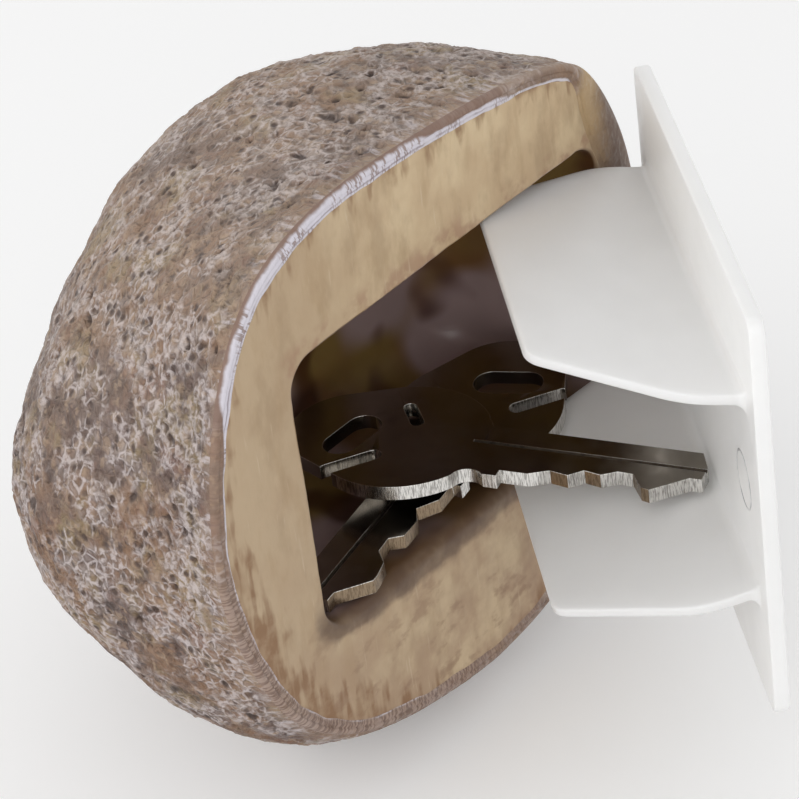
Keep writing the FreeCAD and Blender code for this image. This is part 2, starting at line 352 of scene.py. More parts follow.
def mouth_outline(angle, inset=0.0):
    """Where rays from the dome's axis meet the cavity's rounded rectangle, drawn in by inset."""
    half_y = CAVITY_HALF[0] - inset
    half_z = CAVITY_HALF[1] - inset
    corner = max(CAVITY_CORNER - inset, CAVITY_BACK_CORNER)
    dense = []
    for sy, sz, start in ((1, 1, 0), (-1, 1, 90), (-1, -1, 180), (1, -1, 270)):
        for turn in np.radians(np.linspace(start, start + 90, 24)):
            dense.append((sy * (half_y - corner) + corner * math.cos(turn),
                          sz * (half_z - corner) + corner * math.sin(turn)))
    dense = np.array(dense)
    closed = np.vstack([dense, dense[:1]])
    fine = np.vstack([closed[i] + (closed[i + 1] - closed[i]) * np.linspace(0, 1, 40)[:, None]
                      for i in range(len(dense))])
    bearing = np.arctan2(fine[:, 1] - DOME_CENTRE[1], fine[:, 0] - DOME_CENTRE[0])
    order = np.argsort(bearing)
    y = np.interp(angle, bearing[order], fine[order, 0], period=2 * math.pi)
    z = np.interp(angle, bearing[order], fine[order, 1], period=2 * math.pi)
    return np.stack([y, z], axis=1)


def outward(outline):
    """Unit normals of a closed anticlockwise outline."""
    along = np.roll(outline, -1, axis=0) - np.roll(outline, 1, axis=0)
    along = along / np.linalg.norm(along, axis=1, keepdims=True)
    return np.stack([along[:, 1], -along[:, 0]], axis=1)


def grid_normals(grid):
    """Normals of a grid of rings, outwards from the rock."""
    along = np.empty_like(grid)
    along[1:-1] = grid[2:] - grid[:-2]
    along[0] = grid[1] - grid[0]
    along[-1] = grid[-1] - grid[-2]
    around = np.roll(grid, -1, axis=1) - np.roll(grid, 1, axis=1)
    normal = np.cross(around, along)
    return normal / np.maximum(np.linalg.norm(normal, axis=2, keepdims=True), 1e-9)


def raised(grid, heights):
    """The grid of rings moved outwards by a height for each point."""
    return grid + grid_normals(grid) * np.reshape(heights, grid.shape[:2])[:, :, None]


def skin_relief(points):
    """Height in mm of the cast stone's skin over its smooth form, and how far each point is a
    crest between cells, the floor of a pit, the top of a mound and part of a broad hollow."""
    bent = points + 0.75 * np.stack([smooth_noise(points, 2.7, s) for s in (3, 4, 5)], axis=1)
    lumps = fractal(points, 15.0, 11, 2)
    hollows = fractal(points, 5.5, 21, 2)
    crowd = 0.3 + 0.7 * ramp(fractal(points, 7.0, 41, 2), -0.5, 0.3)
    nearest, following, value = scattered_grains(bent, 2.2, 51)
    crest = (1 - ramp(following - nearest, 0.05, 0.70)) * crowd
    pit = (1 - ramp(nearest, 0.25, 0.95)) * ramp(value, 0.35, 0.65) * crowd
    mound = (1 - ramp(nearest, 0.30, 1.10)) * ramp(1 - value, 0.60, 0.85)
    small, _, small_value = scattered_grains(bent, 1.15, 56)
    small_pit = (1 - ramp(small, 0.10, 0.48)) * ramp(small_value, 0.50, 0.70)
    big, _, big_value = scattered_grains(bent, 4.4, 61)
    crater = (1 - ramp(big, 0.30, 1.35)) * ramp(big_value, 0.55, 0.75)
    height = 0.34 * lumps + 0.26 * hollows + 0.06 * fractal(bent, 0.9, 71, 2)
    height += 0.22 * crest + 0.24 * mound - 0.46 * pit - 0.20 * small_pit - 0.34 * crater
    deep = np.maximum.reduce([pit, crater, 0.7 * small_pit])
    return height, crest, deep, mound, 0.5 - 0.5 * hollows


def end_wear(outline):
    """1 where the edge of the base face is worn right away, at the cover's pivot end."""
    return ramp(outline[:, 0] + 0.35 * np.abs(outline[:, 1] - 6.0), 37.0, 44.0)


def dome_rings(radius, angle):
    """Rings from the crown to the edge, evenly spaced along the dome on average."""
    lowest = math.asin(EDGE_ROUND / DOME_DEPTH)
    rises = np.linspace(math.radians(89.95), lowest, 900)
    trial = np.array([dome_ring(radius[::20], angle[::20], rise) for rise in rises])
    steps = np.linalg.norm(np.diff(trial, axis=0), axis=2).mean(axis=1)
    length = np.concatenate([[0], np.cumsum(steps)])
    count = int(length[-1] / SKIN_STEP)
    even = np.interp(np.linspace(0, length[-1], count), length, rises)
    return np.array([dome_ring(radius, angle, rise) for rise in even])


def edge_rings(outline, worn):
    """The rounded edge, the bead inside it, and how far across them each ring lies."""
    inward = -outward(outline)
    flat = np.column_stack([worn * 0, outline])
    wobble = smooth_noise(flat, 3.0, 81)
    nicks = smooth_noise(flat, 0.6, 82)
    rounding = EDGE_ROUND + (END_ROUND - EDGE_ROUND) * worn
    sunk = END_SUNK * worn
    start = END_INSET * worn
    rings = []
    across = []
    for turn in np.radians(np.linspace(0, 90, 12)[1:]):
        part = turn / QUARTER_TURN
        inset = start + EDGE_ROUND * (1 - math.cos(turn))
        inset = inset + (rounding - EDGE_ROUND - start) * part ** 1.5
        x = -EDGE_ROUND * (1 - math.sin(turn)) - sunk * (1 - 0.75 * part) - 0.04
        rings.append(np.column_stack([x, outline + inward * np.reshape(inset, (-1, 1))]))
        across.append(0.4 * part)
    bead = BEAD_HEIGHT * (1 - worn) * (0.75 + 0.25 * wobble)
    for part in np.linspace(0, 1, 11)[1:]:
        profile = math.sin(math.pi * part) ** 2
        valley = 0.5 * math.exp(-((part - 0.68) / 0.09) ** 2)
        x = -0.25 - 0.25 * sunk + (profile - valley) * bead * (1 + 0.25 * nicks)
        inset = rounding + BEAD_WIDTH * part * (1 + 0.15 * wobble)
        rings.append(np.column_stack([x, outline + inward * np.reshape(inset, (-1, 1))]))
        across.append(0.4 + 0.6 * part)
    return np.array(rings), np.array(across)


def face_rings(outer, inner):
    """The base face between the bead and the mouth's lip, sagging a little, and how far in
    each ring lies, from 0 to 1."""
    count = int(FACE_WIDTH / FACE_STEP)
    parts = np.linspace(0, 1, count + 1)[1:]
    rings = np.array([outer + (inner - outer) * part for part in parts])
    flat = np.concatenate([np.zeros((*rings.shape[:2], 1)), rings], axis=2)
    points = flat.reshape(-1, 3)
    sag = 0.16 + 0.10 * fractal(points, 10.0, 91, 3) + 0.03 * fractal(points, 1.6, 95, 2)
    end = 1.05 * ramp(points[:, 1] + 0.35 * np.abs(points[:, 2] - 6.0), 33.0, 43.0) ** 1.5
    flat[:, :, 0] = -0.1 - (np.maximum(sag, 0.02) + end).reshape(rings.shape[:2])
    return flat, parts


def cavity_rings(angle, mouth, lip, start):
    """Down over the rounded lip, along the wall and across the back of the cavity."""
    rings = []
    out = outward(mouth)
    for turn in np.radians(np.linspace(90, 0, 8))[1:]:
        ring = mouth + out * (lip * (1 - math.cos(turn)))[:, None]
        rings.append(np.column_stack([start - lip * (1 - math.sin(turn)), ring]))
    deepest = CAVITY_DEPTH - CAVITY_BACK_ROUND
    for x in np.arange(-WALL_START, -deepest, -WALL_STEP):
        rings.append(np.column_stack([np.full(len(angle), x), mouth]))
    for turn in np.radians(np.linspace(0, 90, 18)):
        ring = mouth_outline(angle, CAVITY_BACK_ROUND * (1 - math.cos(turn)))
        x = -deepest - CAVITY_BACK_ROUND * math.sin(turn)
        rings.append(np.column_stack([np.full(len(angle), x), ring]))
    middle = np.array([-CAVITY_DEPTH, *DOME_CENTRE])
    back = rings[-1]
    for part in np.linspace(0, 0.985, 24)[1:]:
        rings.append(back + (middle - back) * part)
    rings = np.array(rings)
    points = rings.reshape(-1, 3)
    swell = (0.25 + 0.22 * fractal(points, 8.0, 101, 3)) * ramp(-points[:, 0], 2.5, 6.0)
    return raised(rings, -np.maximum(swell, 0))


def rock():
    """The casting as one closed tube: dome, rounded edge, base face and cavity. Also says
    which faces belong to the base and the cavity."""
    outline = closed_spline(BASE_OUTLINE, AROUND)
    offset = outline - np.array(DOME_CENTRE)
    radius = np.linalg.norm(offset, axis=1)
    angle = np.arctan2(offset[:, 1], offset[:, 0])
    worn = end_wear(outline)

    dome = dome_rings(radius, angle)
    depth = -dome[:, :, 0]
    roll = worn * np.exp(-(depth / 4.5) ** 2)
    dome[:, :, 0] -= END_SUNK * roll
    dome[:, :, 1:] += -outward(outline)[None, :, :] * (END_INSET * roll)[:, :, None]
    height, crest, pit, mound, hollow = (v.reshape(depth.shape)
                                         for v in skin_relief(dome.reshape(-1, 3)))
    settled = 0.10 + 0.90 * ramp(depth, 0.6 + 3.0 * worn, 4.5 + 12.0 * worn)
    skin = raised(dome, height * settled - 0.12)
    skin[:, :, 0] = np.clip(skin[:, :, 0], -CROWN_FLAT, -0.05)

    edge, edge_across = edge_rings(outline, worn)
    low_side = ramp(-np.sin(angle), 0.40, 0.72)
    lip = LIP_ROUND + (LOW_LIP_ROUND - LIP_ROUND) * low_side
    mouth = mouth_outline(angle)
    inner = mouth + outward(mouth) * lip[:, None]
    face, parts = face_rings(edge[-1][:, 1:], inner)
    edge[-1][:, 0] = face[0][:, 0]
    walls = cavity_rings(angle, mouth, lip, face[-1][:, 0])

    stack = [skin, edge, face, walls]
    rings = np.concatenate(stack)
    # The rock lies on the ground and stays within the height of its solid.
    floor = -ROCK_ORIGIN[2] + 0.02
    ceiling = cad_box[1][2] / MM - ROCK_ORIGIN[2] - 0.01
    rings[:, :, 2] = np.clip(rings[:, :, 2], floor, ceiling)
    piece = closed_tube("rock_casting", rings)

    mouth_gap = np.linalg.norm(inner - edge[-1][:, 1:], axis=1)
    lost = 4.0 * worn
    # Values for the paint, each given for the dome, the edge, the face and the cavity.
    for name, values in (
            ("crest", (crest * settled, 0, 0, 0)),
            ("pit", (pit * settled, 0, 0, 0)),
            ("mound", (mound * settled, 0, 0, 0)),
            ("hollow", (hollow, 0.5, 0.5, 0.5)),
            ("off_ridge", (depth, 0, 0, 0)),
            ("bead", (0.2 - 0.8 * depth - lost, edge_across[:, None] - lost, 1.6, 2)),
            ("end_worn", [worn] * 4),
            ("ridge_wear", [ridge_wear(outline, worn)] * 4),
            ("from_edge", (0, 0, np.outer(parts, mouth_gap), 60)),
            ("to_mouth", (60, 30, np.outer(1 - parts, mouth_gap), walls[:, :, 0])),
            ("girth", [np.arange(AROUND) / AROUND * GIRTH] * 4)):
        add_values(piece, name, np.concatenate([np.broadcast_to(value, part.shape[:2])
                                                for value, part in zip(values, stack)]))

    first_inside = (len(skin) + len(edge) - 1) * AROUND
    inside = np.zeros(len(piece.data.polygons), dtype=np.int32)
    inside[first_inside:] = 1
    inside[-2 * AROUND:-AROUND] = 0
    return piece, inside


def ridge_wear(outline, worn):
    """How far the white has gone from the ridge: whole at the upper left, thin and patchy along
    the top and down the left, none along the lower right and at the pivot end."""
    y, z = outline[:, 0], outline[:, 1]
    along_top = 0.42 * ramp(y, -14.0, 4.0) * ramp(z, 10.0, 25.0)
    left = 0.62 * ramp(-z, -27.0, -15.0) + 0.16 * ramp(-z, -6.0, 10.0)
    lower = ramp(-z, 36.0, 41.0) * ramp(y, -24.0, -12.0)
    right = np.maximum(0.60 * ramp(y, 0.0, 20.0), ramp(y, 30.0, 36.0))
    return np.clip(np.maximum.reduce([along_top, left, lower, right, 0.8 * worn]), 0, 1)


# ---------------------------------------------------------------- the cover

def rounded_polygon(corners, radii, steps):
    """The closed outline with each corner rounded; the corners go anticlockwise."""
    result = []
    for i, (corner, radius) in enumerate(zip(corners, radii)):
        here = Vector(corner)
        back = (Vector(corners[i - 1]) - here).normalized()
        ahead = (Vector(corners[(i + 1) % len(corners)]) - here).normalized()
        half = back.angle(ahead) / 2
        reach = radius / math.tan(half)
        centre = here + (back + ahead).normalized() * radius / math.sin(half)
        start = here + back * reach - centre
        end = here + ahead * reach - centre
        swing = start.angle_signed(end)
        for step in range(steps + 1):
            spoke = start.copy()
            spoke.rotate(Matrix.Rotation(-swing * step / steps, 2))
            result.append(tuple(centre + spoke))
    return np.array(result)


def moulded_slab(outline, low, high, low_round, high_round):
    """A flat moulding between two heights with softly rounded rims, as rings of points."""
    levels = []
    for turn in np.radians(np.linspace(90, 0, 6)):
        levels.append((low_round * (1 - math.cos(turn)), low + low_round * (1 - math.sin(turn))))
    for turn in np.radians(np.linspace(0, 90, 6)):
        levels.append((high_round * (1 - math.cos(turn)),
                       high - high_round * (1 - math.sin(turn))))
    levels.insert(0, (low_round + RIM_MARGIN, low))
    levels.append((high_round + RIM_MARGIN, high))
    rings = []
    for inset, height in levels:
        flat = outline - outward(outline) * inset
        rings.append(np.column_stack([flat, np.full(len(flat), height)]))
    return np.array(rings)


def slab_mesh(rings):
    """Points and faces over a stack of rings, with a flat face at both ends."""
    around = rings.shape[1]
    points = rings.reshape(-1, 3)
    faces = ring_faces(len(rings), around).tolist()
    faces.append(tuple(reversed(range(around))))
    last = (len(rings) - 1) * around
    faces.append(tuple(range(last, last + around)))
    return points, faces


def witness_ring(centre):
    """The fine raised line that an ejector pin leaves, as a thin half-sunk torus."""
    around, section = 72, 8
    points = []
    for i in range(around):
        turn = 2 * math.pi * i / around
        for j in range(section):
            roll = 2 * math.pi * j / section
            reach = EJECTOR_RADIUS + EJECTOR_LINE_HALF_WIDTH * math.cos(roll)
            points.append((centre[0] + EJECTOR_LINE_HEIGHT * math.sin(roll),
                           centre[1] + reach * math.cos(turn),
                           centre[2] + reach * math.sin(turn)))
    faces = []
    for i in range(around):
        for j in range(section):
            k = (i + 1) % around
            m = (j + 1) % section
            faces.append((i * section + j, k * section + j, k * section + m, i * section + m))
    return np.array(points), faces


def tab_shell(outline, side):
    """One tab, leaning outwards from the plate, with a hollow fillet all round its root."""
    rings = moulded_slab(outline, -TAB_THICKNESS, 0.0, TAB_ROUND, TAB_ROUND)
    points, faces = slab_mesh(rings)
    # The tab thins a little towards its end.
    reach = np.clip(-points[:, 0] / TAB_LENGTH, 0, 1)
    points[:, 2] *= 1 - TAB_THINNING * reach * (points[:, 2] < 0)
    lean_x, lean_z = math.cos(TAB_FLARE), math.sin(TAB_FLARE)
    x = points[:, 0] * lean_x + points[:, 2] * lean_z + PLATE_INNER
    z = points[:, 2] * lean_x - points[:, 0] * lean_z + TAB_OUTSIDE
    mesh = bmesh.new()
    verts = [mesh.verts.new(point) for point in zip(x, points[:, 1], z)]
    for face in faces:
        mesh.faces.new([verts[i] for i in face])
    for turn in np.radians(np.linspace(0, 90, 9)):
        gap = ROOT_FILLET * (1 - math.sin(turn)) + 0.01
        bmesh.ops.bisect_plane(mesh, geom=mesh.verts[:] + mesh.edges[:] + mesh.faces[:],
                               dist=1e-5, plane_co=(PLATE_INNER - gap, 0, 0),
                               plane_no=(1, 0, 0))
    for vert in mesh.verts:
        gap = min(max(PLATE_INNER - vert.co.x, 0.0), ROOT_FILLET)
        grown = ROOT_FILLET - math.sqrt(ROOT_FILLET ** 2 - (ROOT_FILLET - gap) ** 2)
        height = (vert.co.x - PLATE_INNER) * lean_z + (vert.co.z - TAB_OUTSIDE) * lean_x
        level = min(max(1 + 2 * height / TAB_THICKNESS, -1), 1)
        vert.co.z += level * grown
        vert.co.y += math.copysign(ROOT_FILLET_SIDE * grown, vert.co.y)
        vert.co.z *= side
    if side < 0:
        bmesh.ops.reverse_faces(mesh, faces=mesh.faces[:])
    mesh.verts.index_update()
    points = np.array([tuple(vert.co) for vert in mesh.verts])
    faces = [tuple(vert.index for vert in face.verts) for face in mesh.faces]
    mesh.free()
    return points, faces


def cover():
    """The plate, its two tabs and its ejector marks, joined into one moulding."""
    corners = [(-PLATE_HALF_LENGTH, PLATE_LOW), (PLATE_HALF_LENGTH, PLATE_LOW),
               (PLATE_HALF_LENGTH, PLATE_HIGH), (-PLATE_HALF_LENGTH, PLATE_HIGH)]
    outline = evenly_spaced(rounded_polygon(corners, [PLATE_CORNER] * 4, 12), PLATE_STEP)
    points, faces = slab_mesh(moulded_slab(outline, PLATE_INNER, PLATE_OUTER,
                                           PLATE_INNER_ROUND, PLATE_OUTER_ROUND))
    shells = [(points[:, [2, 0, 1]], faces)]

    tab = [(ROOT_SUNK, -TAB_HALF_ROOT), (ROOT_SUNK, TAB_HALF_ROOT), (-TAB_STRAIGHT, TAB_HALF_ROOT),
           (-TAB_LENGTH, TAB_HALF_END), (-TAB_LENGTH, -TAB_HALF_END),
           (-TAB_STRAIGHT, -TAB_HALF_ROOT)]
    outline = evenly_spaced(rounded_polygon(tab, TAB_CORNERS, 10), TAB_STEP)
    for side in (1, -1):
        shells.append(tab_shell(outline, side))
    for end in (-1, 1):
        shells.append(witness_ring((PLATE_INNER, end * EJECTOR_REACH, 0.0)))

    solids = [new_object("cover_part", opened(part), part_faces) for part, part_faces in shells]
    moulding = solids[0]
    moulding.name = "cover_moulding"
    combine(moulding, solids[1:], "UNION")
    moulding.data.set_sharp_from_angle(angle=math.radians(38))
    shade(moulding, 100)
    return moulding


def opened(points):
    """Points of the shut cover, turned about its pivot to where it lies open, in metres."""
    x = points[:, 0] - PIVOT[0]
    y = points[:, 1] - PIVOT[1]
    cos, sin = math.cos(COVER_OPEN), math.sin(COVER_OPEN)
    turned = np.column_stack([PIVOT[0] + cos * x - sin * y, PIVOT[1] + sin * x + cos * y,
                              points[:, 2]])
    return to_object_frame(turned)


# ---------------------------------------------------------------- the keys

def key_matrix(place, mirrored):
    """From the key's own frame, bow centre at the origin and blade along +X, to the rock's."""
    spot, heading, rise = place
    matrix = Matrix.Translation(spot) @ Matrix.Rotation(heading, 4, "Z")
    tip = Matrix.Translation((BLADE_TIP, 0, 0))
    matrix = matrix @ tip @ Matrix.Rotation(rise, 4, "Y") @ tip.inverted()
    if mirrored:
        matrix = matrix @ Matrix.Diagonal((1, -1, 1, 1))
    return matrix


def blank_outlines(solid, to_key):
    """The blank's outline and its slots, read off the plain underside of the solid."""
    mesh = bmesh.new()
    mesh.from_mesh(frame["nodes"][solid].data)
    bmesh.ops.remove_doubles(mesh, verts=mesh.verts, dist=2e-6)
    for vert in mesh.verts:
        vert.co = to_key @ (vert.co / MM - ROCK_ORIGIN)
    mesh.normal_update()
    under = {face for face in mesh.faces
             if all(abs(vert.co.z) < 0.01 for vert in face.verts)}
    rim = {}
    for edge in mesh.edges:
        sides = [face in under for face in edge.link_faces]
        if sides.count(True) == 1:
            for vert in edge.verts:
                rim.setdefault(vert.index, []).append(edge.other_vert(vert).index)
    mesh.verts.ensure_lookup_table()
    loops = []
    left = set(rim)
    while left:
        start = min(left)
        loop = [start]
        left.discard(start)
        step = rim[start][0]
        while step != start:
            loop.append(step)
            left.discard(step)
            ahead = [v for v in rim[step] if v != loop[-2]]
            step = ahead[0]
        loops.append([tuple(mesh.verts[v].co.xy) for v in loop])
    mesh.free()
    return loops


def key_solid(name, loops):
    """A flat blank from its outline and slots."""
    mesh = bmesh.new()
    for loop in loops:
        verts = [mesh.verts.new((u, v, 0.0)) for u, v in loop]
        for i, vert in enumerate(verts):
            mesh.edges.new((vert, verts[(i + 1) % len(verts)]))
    bmesh.ops.triangle_fill(mesh, use_beauty=True, use_dissolve=False, edges=mesh.edges[:])
    grown = bmesh.ops.extrude_face_region(mesh, geom=mesh.faces[:])
    for item in grown["geom"]:
        if isinstance(item, bmesh.types.BMVert):
            item.co.z = KEY_THICKNESS
    bmesh.ops.recalc_face_normals(mesh, faces=mesh.faces[:])
    data = bpy.data.meshes.new(name)
    mesh.to_mesh(data)
    mesh.free()
    return placed(name, data)


def groove_cutter():
    """A cutter for the groove along the blade, with sloping walls, standing 0.5 mm proud."""
    low, high = GROOVE_SIDES
    bottom = KEY_THICKNESS - GROOVE_DEPTH
    points = []
    for u in (GROOVE_START, BLADE_TIP + 1):
        points += [(u, low, KEY_THICKNESS + 0.5), (u, high, KEY_THICKNESS + 0.5),
                   (u, high, KEY_THICKNESS), (u, high - GROOVE_SLOPE, bottom),
                   (u, low + GROOVE_SLOPE, bottom), (u, low, KEY_THICKNESS)]
    faces = [tuple(range(6)), tuple(reversed(range(6, 12)))]
    for i in range(6):
        k = (i + 1) % 6
        faces.append((i, i + 6, k + 6, k))
    return new_object("cutter", points, faces, smooth=False)


def house_key(name, solid, place, mirrored, finishes):
    """A key cut to its solid's outline, with its groove, broken edges and finishes."""
    matrix = key_matrix(place, mirrored)
    piece = key_solid(name, blank_outlines(solid, matrix.inverted()))
    combine(piece, [groove_cutter()], "DIFFERENCE")
    edge = piece.modifiers.new("edge", "BEVEL")
    edge.width = KEY_ARRIS
    edge.segments = 2
    edge.limit_method = "ANGLE"
    edge.angle_limit = math.radians(35)
    apply_modifiers(piece)
    piece.data.polygons.foreach_set("use_smooth", [True] * len(piece.data.polygons))
    piece.data.materials.clear()
    for finish in finishes:
        piece.data.materials.append(finish)
    # 0 polished faces, and the flanks at the bow's end as painted shade on its slot walls,
    # 1 sheared flanks and every bright arris, 2 brass laid bare where the cuts fall, darkened
    # as a painted reflection of the rock, 3 painted shade in the groove.
    for polygon in piece.data.polygons:
        centre = polygon.center
        upright = abs(polygon.normal.z)
        on_cuts = centre.x > SHOULDER_AT + 1.0 and centre.y < 0.2
        in_groove = (centre.x > GROOVE_START and GROOVE_SIDES[0] < centre.y < GROOVE_SIDES[1]
                     and 0.5 * KEY_THICKNESS < centre.z < KEY_THICKNESS - 0.02)
        # The groove's faces get a dark finish: painted shade in the groove.
        if in_groove:
            polygon.material_index = 3
        # Cut flanks facing back towards the bow, all of them on the mirrored key: bare brass,
        # darkened too as a painted reflection of the rock's shaded side.
        elif upright < 0.35 and on_cuts and (mirrored or polygon.normal.x < -0.15):
            polygon.material_index = 2
        # The flanks at the bow's end, the walls of its slots, get the dark face finish as painted
        # shade.
        elif upright < 0.35 and centre.x < SHADED_BOW_FROM:
            polygon.material_index = 0
        else:
            polygon.material_index = 1 if upright < 0.97 else 0
    in_place = Matrix.Scale(MM, 4) @ Matrix.Translation(ROCK_ORIGIN) @ matrix
    piece.data.transform(in_place)
    if mirrored:
        piece.data.flip_normals()
    piece.data.update()
    shade(piece, 50)
    return piece


# ---------------------------------------------------------------- materials

# Short names for the nodes that the paint is mixed with, and their settings.
SHORT_NAMES = {"ease": ("MapRange", {"interpolation_type": "SMOOTHSTEP"}),
               "over": ("Mix", {"data_type": "RGBA"}),
               "plus": ("Math", {"operation": "ADD"}),
               "less": ("Math", {"operation": "SUBTRACT"}),
               "times": ("Math", {"operation": "MULTIPLY"}),
               "most": ("Math", {"operation": "MAXIMUM"})}

PIT_SIZE = 1.5               # mm across the small round pits

# The brown at the worn pivot end, on the dome and the base face alike, is brown paint and
# painted shade where the end rounds off: its colour, and the reach in metres over which
# it comes in.
END_BROWN_AND_SHADE = "#7C675A"
END_BROWN_AND_SHADE_REACH = (0.0270, 0.0345)


def linear(hex_colour):
    """An sRGB hex colour as linear red, green, blue and alpha."""
    values = []
    for i in (1, 3, 5):
        level = int(hex_colour[i:i + 2], 16) / 255
        values.append(level / 12.92 if level <= 0.04045 else ((level + 0.055) / 1.055) ** 2.4)
    return (*values, 1.0)


def node(tree, kind, *inputs, out=None, **settings):
    """Adds a node with its settings and fills its inputs in order, each with a link, a number
    or a hex colour. Gives its first output, or the one that out names."""
    kind, given = SHORT_NAMES.get(kind, (kind, {}))
    made = tree.nodes.new("ShaderNode" + kind)
    for name, value in {**given, **settings}.items():
        setattr(made, name, value)
    sockets = [socket for socket in made.inputs if socket.enabled]
    for socket, value in zip(sockets, inputs):
        if isinstance(value, bpy.types.NodeSocket):
            tree.links.new(value, socket)
        elif isinstance(value, str):
            socket.default_value = linear(value)
        elif value is not None:
            socket.default_value = value
    if out:
        return made.outputs[out]
    return next((socket for socket in made.outputs if socket.enabled), None)


def per_mm(size):
    """The scale at which a pattern's lumps or cells are about size mm across."""
    return 1 / (size * MM)


def patches(add, place, size, detail, low, high, least=0.0, most=1.0, rough=0.5, stretch=None):
    """Soft patches about size mm across: least where the noise is below low, most above high."""
    if stretch:
        place = add("Mapping", place, None, None, stretch)
    noise = add("TexNoise", place, per_mm(size), detail, rough)
    return add("ease", noise, low, high, least, most)


def product(add, share, *others):
    """Several shares multiplied together."""
    for other in others:
        share = add("times", share, other)
    return share


def new_material(name):
    """A new material, the function that adds nodes to it, and its shader's inputs."""
    material = bpy.data.materials.new(name)
    material.use_nodes = True
    tree = material.node_tree
    return material, partial(node, tree), tree.nodes["Principled BSDF"].inputs


def carried_values(add, names):
    """The values that the mesh carries for each point."""
    return {name: add("Attribute", out="Fac", attribute_name=name) for name in names}


def bent_place(add, place):
    """The place pushed about by noise, so that patterns laid on it wander."""
    push = add("TexNoise", place, per_mm(1.8), 2.0, out="Color")
    centred = add("VectorMath", push, (0.5, 0.5, 0.5), operation="SUBTRACT")
    shift = add("VectorMath", centred, 0.8 * MM, operation="SCALE")
    return add("VectorMath", place, shift, operation="ADD")


def end_reach(add, place, clouds):
    """How far a place lies towards the worn pivot end of the base face, in metres."""
    height = add("SeparateXYZ", place, out="Z")
    side = height.node.outputs["Y"]
    below = add("less", (ROCK_ORIGIN.z + 14.0) * MM, height)
    reach = add("less", side, ROCK_ORIGIN.y * MM)
    reach = add("plus", reach, add("times", below, 0.25))
    ragged = add("times", add("less", clouds, 0.5), 0.012)
    return add("plus", reach, ragged)


def sprayed_coats(add, place, bent, skin):
    """Brown, mauve and ochre, one fading into the next, stained darker in the hollows."""
    mist = patches(add, place, 16.0, 3.0, 0.42, 0.6)
    colour = add("over", mist, "#82644D", "#66524A")
    for size, low, high, most, paint in ((7.0, 0.52, 0.64, 0.7, "#8E7A58"),
                                         (5.0, 0.55, 0.68, 0.6, "#7C5A4C")):
        mist = patches(add, place, size, 3.0, low, high, 0.0, most)
        colour = add("over", mist, colour, paint)
    stain = patches(add, bent, 3.0, 4.0, 0.46, 0.62, 0.0, 0.95, rough=0.6)
    deep = add("ease", skin["hollow"], 0.3, 0.7, 0.35, 1.0)
    colour = add("over", add("times", stain, deep), colour, "#4B352B")
    tops = patches(add, bent, 2.0, 3.0, 0.54, 0.66, 0.0, 0.75, rough=0.55)
    tops = add("most", skin["mound"], tops)
    colour = add("over", add("times", tops, 0.75), colour, "#A88E76")
    calm = add("ease", skin["off_ridge"], 3.8, 1.2)
    return add("over", add("times", calm, 0.4), colour, "#A0856E")


def dry_brushed(add, colour, bent, patch, net, skin):
    """Chalky white, first scumbled in soft patches, then on the rims of small round pits."""
    soft = patches(add, bent, 3.0, 4.0, 0.5, 0.66, rough=0.6)
    scumble = add("times", soft, add("ease", patch, 0.4, 0.62))
    colour = add("over", add("times", scumble, 0.55), colour, "#B5A69E")
    rims = add("ease", net, 0.2, 0.05)
    rims = add("times", rims, add("ease", patch, 0.43, 0.54))
    crowded = add("ease", patch, 0.38, 0.54, 0.05, 1.1)
    rims = add("most", rims, add("times", skin["crest"], crowded))
    rubbed = patches(add, bent, 0.9, 3.0, 0.36, 0.6, rough=0.6)
    clear = add("ease", skin["off_ridge"], 0.4, 3.2, 0.3, 0.72)
    return add("over", product(add, rims, rubbed, clear), colour, "#CEC3C2")


def pit_floors_wash_and_shade(add, bent, patch, off_ridge):
    """The dark floors of about half of the net's cells, strongest among the white: a dark
    wash, and painted shade in the pits.
    """
    middle = add("TexVoronoi", bent, per_mm(PIT_SIZE))
    picked = add("SeparateColor", middle.node.outputs["Color"], out="Red")
    floors = add("times", add("ease", middle, 0.42, 0.12), add("ease", picked, 0.44, 0.56))
    clear = add("ease", off_ridge, 1.5, 5.0, 0.0, 0.9)
    crowded = add("ease", patch, 0.36, 0.5, 0.35, 1.0)
    return product(add, floors, clear, crowded)


def rubbed_end(add, colour, end, skin):
    """The worn pivot end, rubbed back to the tan of the base face and its brown, which is brown
    paint and painted shade of the rounded end.
    """
    shown = add("most", add("ease", end, 0.03, 0.035), add("ease", skin["end_worn"], 0.15, 0.5))
    near = add("ease", skin["off_ridge"], 11.0, 4.0)
    shown = product(add, shown, near, 0.92)
    # Brown paint and painted shade of the rounded end come in towards it.
    shaded_brown_share = add("ease", end, *END_BROWN_AND_SHADE_REACH)
    wash = add("over", shaded_brown_share, "#B79C76", END_BROWN_AND_SHADE)
    return add("over", shown, colour, wash)


def brush_flicks(add, colour, skin):
    """Strokes across the smooth band beside the ridge, as a loaded brush leaves them."""
    off_ridge = skin["off_ridge"]
    along = add("CombineXYZ", add("times", skin["girth"], 1.1), add("times", off_ridge, 0.22), 0.0)
    bristles = add("TexNoise", along, 1.0, 3.0)
    rest_of_rim = add("ease", skin["end_worn"], 0.45, 0.1)
    band = add("times", add("ease", off_ridge, 5.0, 2.5), add("ease", off_ridge, 0.1, 0.8))
    pale = add("times", add("ease", bristles, 0.54, 0.68), band)
    pale = product(add, pale, rest_of_rim, 0.65)
    colour = add("over", pale, colour, "#CEC4C6")
    dark = add("times", add("ease", bristles, 0.44, 0.34), add("ease", off_ridge, 4.0, 2.0))
    dark = product(add, dark, rest_of_rim, 0.55)
    return add("over", dark, colour, "#745A50")


